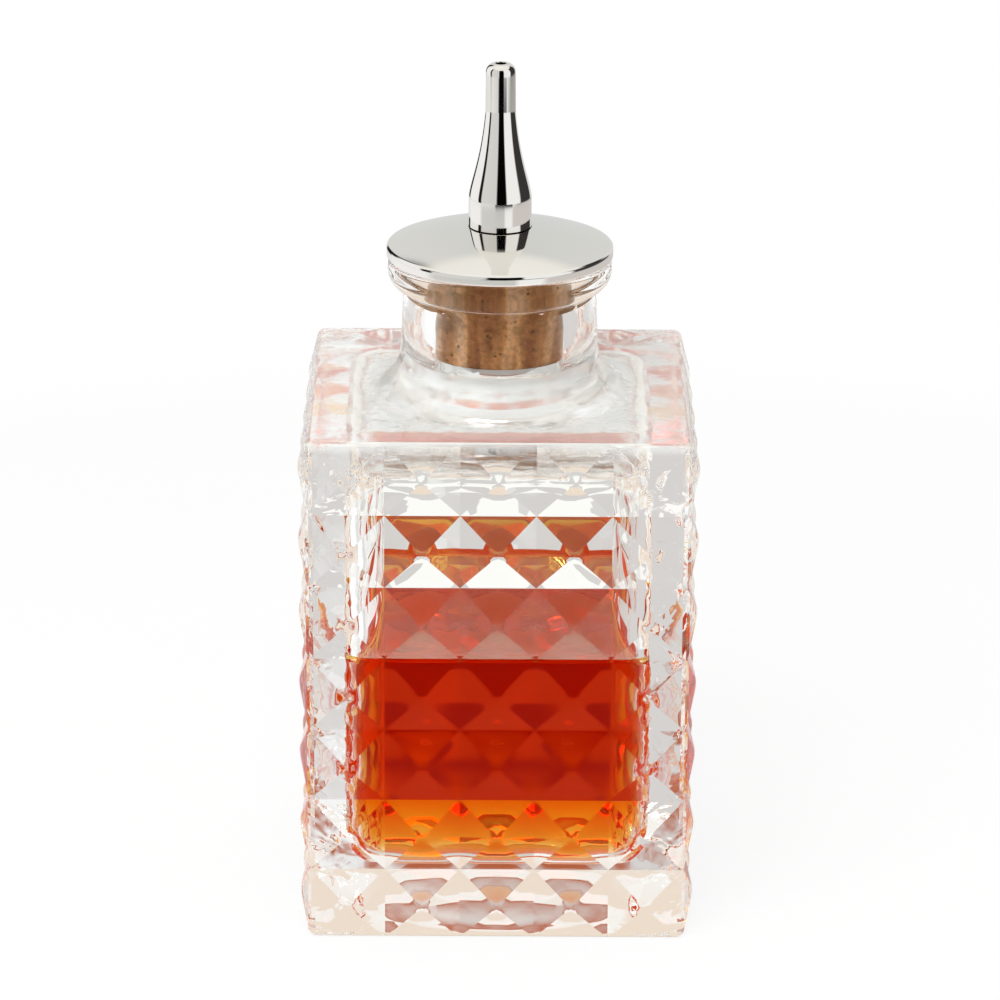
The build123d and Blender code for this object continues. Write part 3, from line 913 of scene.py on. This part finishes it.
# White table top, melamine on board: matt and even. Part of its white is its own, so that it meets the
# background with no edge, and the rest takes the object's shadow. Through glass it is all its own, but
# for a soft amber patch behind the bottle, where the light lands that has come through the liquid.
def paleFloor():
    material, tree = startMaterial("white_table_top")
    place = addNode(tree, "ShaderNodeTexCoord").outputs["Object"]
    parts = addNode(tree, "ShaderNodeSeparateXYZ", {0: place})
    distance = addNode(tree, "ShaderNodeVectorMath", {0: place}, operation="LENGTH")
    fade = remap(tree, distance.outputs["Value"], (studio["shadowReach"] * mm, studio["shadowEnd"] * mm),
                 kind="SMOOTHSTEP")
    path = addNode(tree, "ShaderNodeLightPath")
    throughGlass = path.outputs["Is Transmission Ray"]
    seen = maths(tree, "MULTIPLY", path.outputs["Is Camera Ray"], studio["paleShare"])
    share = maths(tree, "MAXIMUM", fade, maths(tree, "MAXIMUM", seen, throughGlass))
    lit = addNode(tree, "ShaderNodeBsdfDiffuse", {"Color": linear(studio["floorTone"])})
    greys = tonesAround(tree, parts, [
        (-180, "#D6D2D0"), (-130, "#FFFFFF"), (-80, "#FFFFFF"), (-68, "#DADAD8"), (14, "#D4D4D2"),
        (20, "#FFFFFF"), (42, "#FFFFFF"), (50, "#D8D2D0"), (180, "#D6D2D0")])
    tone = mixColours(tree, path.outputs["Is Glossy Ray"], (1, 1, 1, 1), greys)
    own = addNode(tree, "ShaderNodeEmission", {"Color": tone, "Strength": 1.0})
    mixed = addNode(tree, "ShaderNodeMixShader", {
        0: share, 1: lit.outputs["BSDF"], 2: own.outputs["Emission"]})
    left, right, near, far = (edge * mm for edge in (*studio["glowAcross"], *studio["glowBehind"]))
    fadeAcross, fadeBack = (width * mm for width in studio["glowFades"])
    glow = maths(tree, "MULTIPLY", within(tree, parts.outputs["X"], left, right, fadeAcross),
                 within(tree, parts.outputs["Y"], near, far, fadeBack))
    seenGlow = maths(tree, "MULTIPLY", maths(tree, "MULTIPLY", glow, throughGlass), studio["glowShare"])
    throughLiquid = addNode(tree, "ShaderNodeEmission", {
        "Color": linear(studio["glowTone"]), "Strength": 1.0})
    glowing = addNode(tree, "ShaderNodeMixShader", {
        0: seenGlow, 1: mixed.outputs["Shader"], 2: throughLiquid.outputs["Emission"]})
    addNode(tree, "ShaderNodeOutputMaterial", {"Surface": glowing.outputs["Shader"]})
    return material


# Studio room as the world. The camera sees pure white, and diffuse surfaces an even light. Mirror
# reflections see a pale room with dark gaps between its soft boxes. Any ray that has been through glass
# sees a paler room, a little greyer on the camera's side, with warm walls above the table.
def studioRoom():
    world = bpy.data.worlds.new("studio")
    bpy.context.scene.world = world
    world.use_nodes = True
    tree = world.node_tree
    tree.nodes.clear()
    coordinates = addNode(tree, "ShaderNodeTexCoord")
    parts = addNode(tree, "ShaderNodeSeparateXYZ", {0: coordinates.outputs["Generated"]})
    height = parts.outputs["Z"]

    # one zone of tones below another, with a soft edge between two angles above the horizon
    def stacked(angles, lower, upper):
        edge = [math.sin(math.radians(angle)) for angle in angles]
        return mixColours(tree, remap(tree, height, edge, kind="SMOOTHSTEP"), lower, upper)

    middle = tonesAround(tree, parts, [
        (-180, "#DADCDA"), (-162, "#E4E4E2"), (-158, "#242222"), (-142, "#242222"), (-138, "#FFFFFF"),
        (-88, "#FFFFFF"), (-85, "#181818"), (-74, "#181818"), (-71, "#E2E2E0"), (-15, "#DCDCDA"),
        (-11, "#060606"), (22, "#060606"), (26, "#FFFFFF"), (76, "#FFFFFF"), (82, "#3A3838"),
        (138, "#3A3838"), (144, "#E8E8E6"), (180, "#DADCDA")])
    low = tonesAround(tree, parts, [
        (-180, "#E6E6E4"), (-60, "#F4F4F2"), (-20, "#E2E2E0"), (-16, "#060606"), (44, "#060606"),
        (49, "#F4F4F2"), (70, "#B4B2B0"), (140, "#B4B2B0"), (180, "#E6E6E4")])
    over = rampColour(tree, height, [
        (0.0, "#E2DEDA"), (0.5, "#F3F0EA"), (0.8, "#FCFAF4"), (1.0, "#FFFEFB")])
    mirrored = stacked((40, 48), stacked((-14.5, -12.5), low, middle), over)
    paler = rampColour(tree, remap(tree, parts.outputs["Y"], (-1.0, 1.0)), [
        (0.0, "#C4C1BE"), (0.3, "#E0DDDA"), (0.6, "#F9F7F4"), (1.0, "#FFFDFA")])
    warmWall = rampColour(tree, height, [
        (0.0, "#EEDCCB"), (0.36, "#EEDDCD"), (0.6, "#F8F4EF"), (1.0, "#FCFAF7")])
    seenThrough = stacked((-1, 6), paler, warmWall)

    path = addNode(tree, "ShaderNodeLightPath")
    beenThrough = maths(tree, "GREATER_THAN", path.outputs["Transmission Depth"], 0.5)
    inMirrors, behindGlass, ambient, white = [
        addNode(tree, "ShaderNodeBackground", {"Color": colour, "Strength": strength})
        for colour, strength in [(mirrored, 1.0), (seenThrough, 1.0),
                                 ((1, 1, 1, 1), studio["ambient"]), ((1, 1, 1, 1), 1.0)]]
    light = inMirrors.outputs["Background"]
    for isRay, room in [(beenThrough, behindGlass), (path.outputs["Is Diffuse Ray"], ambient),
                        (path.outputs["Is Camera Ray"], white)]:
        light = addNode(tree, "ShaderNodeMixShader", {
            0: isRay, 1: light, 2: room.outputs["Background"]}).outputs["Shader"]
    addNode(tree, "ShaderNodeOutputWorld", {"Surface": light})


# Lamp: a wide disc that lights the table and the cork, through the glass too. Mirrors show the room
# instead of it.
def softLamp():
    data = bpy.data.lights.new("frontLamp", "AREA")
    data.shape, data.size, data.energy = "DISK", studio["lampWidth"] * mm, studio["lampPower"]
    lamp = bpy.data.objects.new("frontLamp", data)
    bpy.context.scene.collection.objects.link(lamp)
    away = np.array(studio["lampAim"]) - np.array(studio["lampPlace"])
    lamp.location = np.array(studio["lampPlace"]) * mm
    lamp.rotation_euler = (math.acos(-away[2] / np.linalg.norm(away)), 0, math.atan2(-away[0], away[1]))
    lamp.visible_glossy = False


placeCamera()
studioRoom()
floorMesh = bpy.data.meshes.new("floor")
floorPoints, floorFaces = floorSurface()
floorMesh.from_pydata((floorPoints * mm).tolist(), [], floorFaces)
floorMesh.materials.append(paleFloor())
floor = bpy.data.objects.new("floor", floorMesh)
bpy.context.scene.collection.objects.link(floor)
softLamp()
bpy.context.scene.view_settings.view_transform = "Standard"
print("studio ready")
